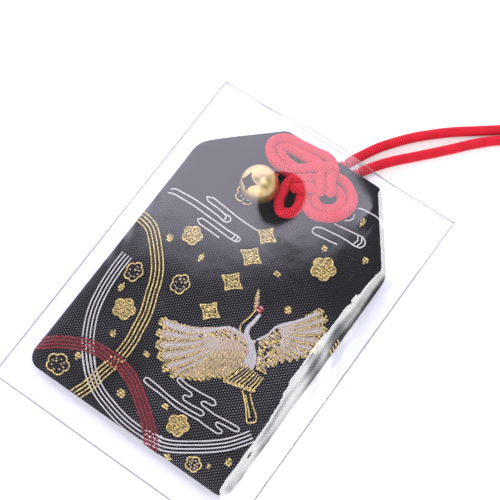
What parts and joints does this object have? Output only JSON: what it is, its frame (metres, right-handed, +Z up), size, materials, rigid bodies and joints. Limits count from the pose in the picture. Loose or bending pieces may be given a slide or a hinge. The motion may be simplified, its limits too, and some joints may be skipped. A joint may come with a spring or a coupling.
{
  "type": "omamori charm",
  "caption": "Brocade talisman bag with a knotted red cord and a brass bell, lying in a clear film sleeve that is open at one end, the cord's free loop beside it.",
  "frame": {"origin": "middle of the clear sleeve's lower face, on the surface that it lies on", "axes": "+X across the sleeve, +Y along it towards its open mouth, +Z up out of the surface"},
  "size_m": [0.0828, 0.128, 0.0162],
  "materials": {
    "clear_film": "clear glossy polypropylene film",
    "brocade": "near-black woven brocade with gold, white and red motifs",
    "gold_thread": "gold metallic sewing thread",
    "lining_cloth": "plain woven cotton lining",
    "wadding_wool": "soft felted wadding",
    "card_board": "grey-brown pressed card",
    "wood": "plain planed cypress",
    "paper": "matt folded paper",
    "red_cord": "round braided red cord",
    "brass": "polished pressed brass",
    "steel": "plain steel ball"
  },
  "bodies": {
    "sleeve": {"sleeve_back_film": "clear_film", "sleeve_front_film": "clear_film"},
    "bag": {"brocade_front": "brocade", "brocade_back": "brocade", "seam_thread": "gold_thread", "lining_front": "lining_cloth", "lining_back": "lining_cloth", "wadding_pad": "wadding_wool", "stiffener_card": "card_board", "talisman_tablet": "wood", "talisman_paper": "paper", "knot_cord": "red_cord", "cord_loop": "red_cord", "bell_tie": "red_cord"},
    "bell": {"bell_shell": "brass", "bell_bail": "brass"},
    "pellet": {"bell_pellet": "steel"}
  },
  "joints": [
    {"name": "bag_slide", "type": "slide", "parent": "sleeve", "child": "bag", "axis": [0, 1, 0], "range_m": [0, 0.08], "deforming": ["sleeve_front_film"]},
    {"name": "bell_swing", "type": "hinge", "parent": "bag", "child": "bell", "pos_m": [-0.00477, 0.02473, 0.00694], "axis": [0.8059, -0.592, 0], "range_deg": [-15, 3]},
    {"name": "pellet_rattle", "type": "slide", "parent": "bell", "child": "pellet", "axis": [0, 0, 1], "range_m": [0, 0.0044]}
  ]
}
